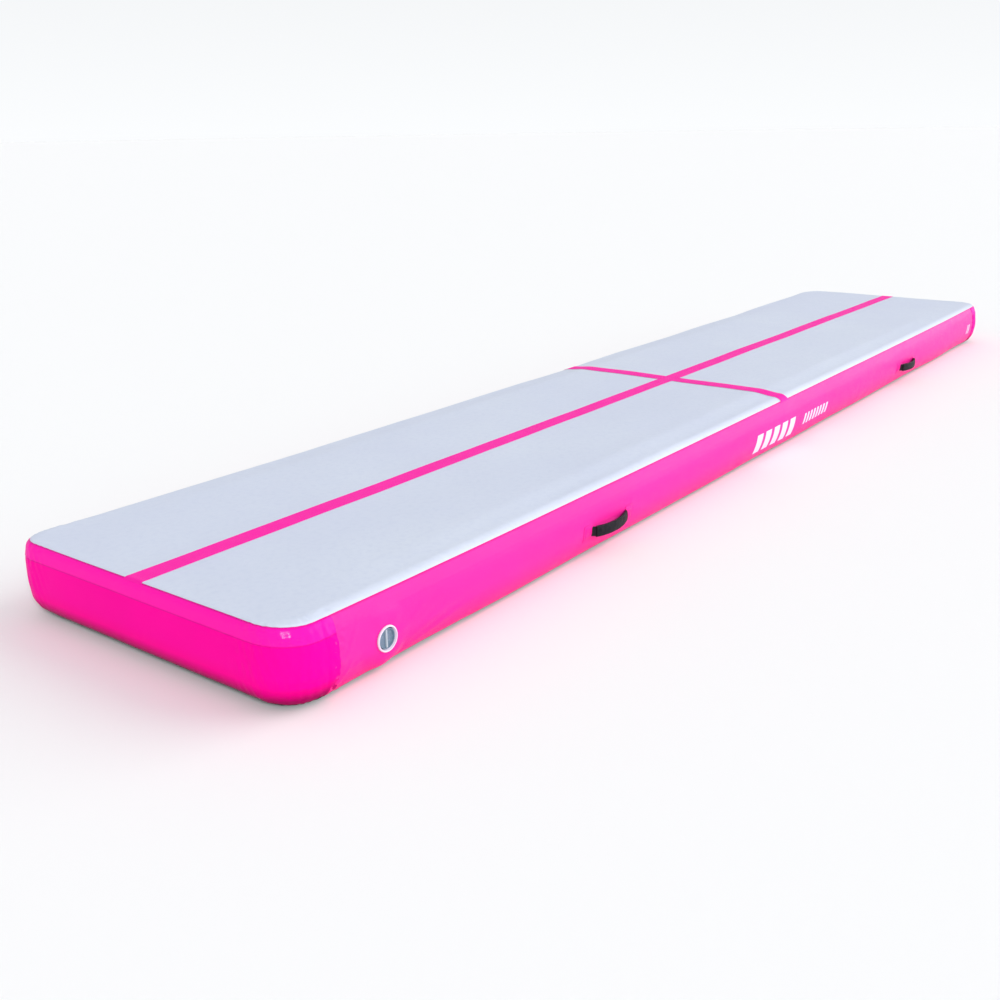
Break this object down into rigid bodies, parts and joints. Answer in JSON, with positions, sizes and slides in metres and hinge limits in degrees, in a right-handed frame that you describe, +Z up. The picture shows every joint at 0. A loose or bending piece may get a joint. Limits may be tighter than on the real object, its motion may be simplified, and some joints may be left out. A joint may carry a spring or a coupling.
{
  "type": "air track mat",
  "caption": "Long inflated gymnastics mat with a drop-stitch core, glued side band, deck stripes, inflation valve and carry handles.",
  "frame": {"origin": "middle of the footprint, on the floor", "axes": "+X along the length, +Y across towards the far long side, +Z up; the valve is in the long side at -Y, near the end at -X"},
  "size_m": [5, 1.0538, 0.2],
  "materials": {
    "deck_pvc": "matte coated fabric",
    "base_pvc": "matte coated fabric",
    "coated_fabric": "matte coated fabric",
    "yarn": "polyester yarn",
    "pink_pvc": "glossy coated fabric",
    "pink_stripe": "satin coated fabric",
    "valve_plastic": "moulded",
    "cap_plastic": "moulded, satin",
    "spring_steel": "drawn wire",
    "valve_rubber": "smooth",
    "webbing": "woven webbing",
    "grip_foam": "padded woven sleeve"
  },
  "bodies": {
    "mat": {"deck_panel": "deck_pvc", "base_panel": "base_pvc", "upper_dropstitch_fabric": "coated_fabric", "lower_dropstitch_fabric": "coated_fabric", "dropstitch_threads": "yarn", "upper_seam_tape": "coated_fabric", "lower_seam_tape": "coated_fabric", "inner_wall_near": "coated_fabric", "inner_wall_far": "coated_fabric", "inner_wall_left": "coated_fabric", "inner_wall_right": "coated_fabric", "side_band_near": "pink_pvc", "side_band_far": "pink_pvc", "end_band_left": "pink_pvc", "end_band_right": "pink_pvc", "centre_stripe": "pink_stripe", "cross_stripe": "pink_stripe", "valve_body": "valve_plastic", "valve_nut": "valve_plastic", "valve_spider": "valve_plastic", "valve_spring": "spring_steel", "outer_gasket": "valve_rubber", "inner_gasket": "valve_rubber", "handle_near_left_tails": "webbing", "handle_near_left_patches": "pink_pvc", "handle_near_right_tails": "webbing", "handle_near_right_patches": "pink_pvc", "handle_far_left_tails": "webbing", "handle_far_left_patches": "pink_pvc", "handle_far_right_tails": "webbing", "handle_far_right_patches": "pink_pvc"},
    "plunger_washer": {"spring_washer": "spring_steel"},
    "plunger": {"valve_stem": "valve_plastic", "valve_button": "valve_plastic", "valve_seal": "valve_rubber", "seal_retainer": "valve_plastic"},
    "cap_seal": {"cap_o_ring": "valve_rubber"},
    "cap": {"valve_cap": "cap_plastic"},
    "handle_near_left": {"handle_near_left_strap": "webbing", "handle_near_left_grip": "grip_foam"},
    "handle_near_right": {"handle_near_right_strap": "webbing", "handle_near_right_grip": "grip_foam"},
    "handle_far_left": {"handle_far_left_strap": "webbing", "handle_far_left_grip": "grip_foam"},
    "handle_far_right": {"handle_far_right_strap": "webbing", "handle_far_right_grip": "grip_foam"}
  },
  "joints": [
    {"name": "plunger_push", "type": "slide", "parent": "mat", "child": "plunger_washer", "axis": [0, 1, 0], "range_m": [0, 0.004], "stiffness_N_per_m": 400, "springref_m": -0.005, "deforming": ["valve_spring"]},
    {"name": "plunger_turn", "type": "hinge", "parent": "plunger_washer", "child": "plunger", "pos_m": [-2.209, -0.5013, 0.0865], "axis": [0, 1, 0], "range_deg": [0, 90]},
    {"name": "cap_lift", "type": "slide", "parent": "mat", "child": "cap_seal", "axis": [0, -1, 0], "range_m": [0, 0.0076]},
    {"name": "cap_turn", "type": "hinge", "parent": "cap_seal", "child": "cap", "pos_m": [-2.209, -0.5013, 0.0865], "axis": [0, -1, 0], "range_deg": [0, 540]},
    {"name": "handle_near_left_swing", "type": "hinge", "parent": "mat", "child": "handle_near_left", "pos_m": [-1.288, -0.5046, 0.094], "axis": [-1, 0, 0], "range_deg": [0, 95]},
    {"name": "handle_near_right_swing", "type": "hinge", "parent": "mat", "child": "handle_near_right", "pos_m": [1.288, -0.5046, 0.094], "axis": [-1, 0, 0], "range_deg": [0, 95]},
    {"name": "handle_far_left_swing", "type": "hinge", "parent": "mat", "child": "handle_far_left", "pos_m": [-1.288, 0.5046, 0.094], "axis": [1, 0, 0], "range_deg": [0, 95]},
    {"name": "handle_far_right_swing", "type": "hinge", "parent": "mat", "child": "handle_far_right", "pos_m": [1.288, 0.5046, 0.094], "axis": [1, 0, 0], "range_deg": [0, 95]}
  ],
  "couplings": [
    {"joint": "cap_lift", "follows": "cap_turn", "m_per_rad": 0.00079577}
  ]
}
